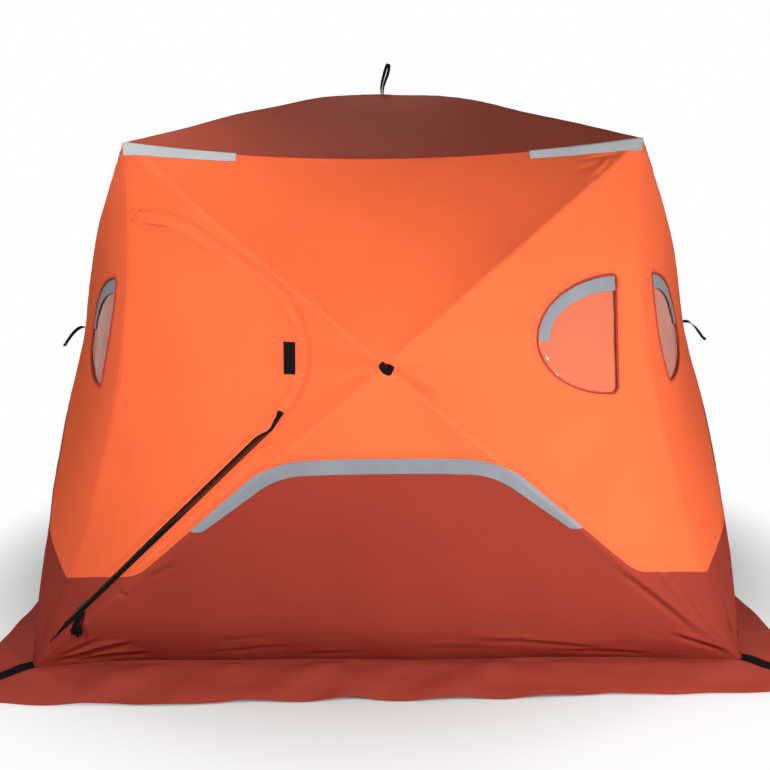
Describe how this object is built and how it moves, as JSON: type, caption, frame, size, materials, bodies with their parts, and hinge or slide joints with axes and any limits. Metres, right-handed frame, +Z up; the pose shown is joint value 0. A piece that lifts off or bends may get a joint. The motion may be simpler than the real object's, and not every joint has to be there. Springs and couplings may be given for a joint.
{
  "type": "ice fishing hut",
  "caption": "Pop-up ice fishing hut with hub-braced fabric walls and roof, a snow skirt, reflective tapes, clear windows and a zipped corner door flap.",
  "frame": {"origin": "on the floor under the roof hub, at the middle of the footprint", "axes": "+Z up, -Y out through the wall with the door, +X to the right of somebody who faces that wall"},
  "size_m": [2.7452, 2.7466, 1.9983],
  "materials": {
    "orange_fabric": "woven coated polyester",
    "dark_red_fabric": "woven coated polyester",
    "reflective_tape": "silver-grey reflective",
    "piping": "bound edge",
    "clear_film": "clear flexible film",
    "zip": "coil zip on woven tape",
    "black_webbing": "woven webbing",
    "pole": "glass fibre rod",
    "black_plastic": "moulded"
  },
  "bodies": {
    "tent": {"roof_panel": "dark_red_fabric", "front_upper_panel": "orange_fabric", "front_lower_panel": "dark_red_fabric", "left_upper_panel": "orange_fabric", "left_lower_panel": "dark_red_fabric", "right_upper_panel": "orange_fabric", "right_lower_panel": "dark_red_fabric", "back_upper_panel": "orange_fabric", "back_lower_panel": "dark_red_fabric", "snow_skirt": "dark_red_fabric", "strip_front": "reflective_tape", "strip_left": "reflective_tape", "strip_right": "reflective_tape", "strip_back": "reflective_tape", "corner_tapes": "reflective_tape", "window_piping": "piping", "window_arches": "reflective_tape", "window_films": "clear_film", "window_blinds": "orange_fabric", "flap_box": "orange_fabric", "front_poles": "pole", "left_poles": "pole", "right_poles": "pole", "back_poles": "pole", "roof_poles": "pole", "hubs": "black_plastic", "roof_pockets": "black_plastic", "foot_pockets": "black_plastic", "front_strap": "black_webbing", "left_strap": "black_webbing", "right_strap": "black_webbing", "back_strap": "black_webbing", "roof_strap": "black_webbing", "anchor_straps": "black_webbing"},
    "door": {"door_upper_panel": "orange_fabric", "door_lower_panel": "dark_red_fabric", "door_storm_flap": "orange_fabric", "door_zip": "zip", "door_tab": "black_webbing", "door_pulls": "black_webbing"}
  },
  "joints": [
    {"name": "door_flap", "type": "hinge", "parent": "tent", "child": "door", "pos_m": [-0.8577, -0.9866, 0.7678], "axis": [-0.1943, -0.1852, -0.9633], "range_deg": [0, 130]}
  ]
}
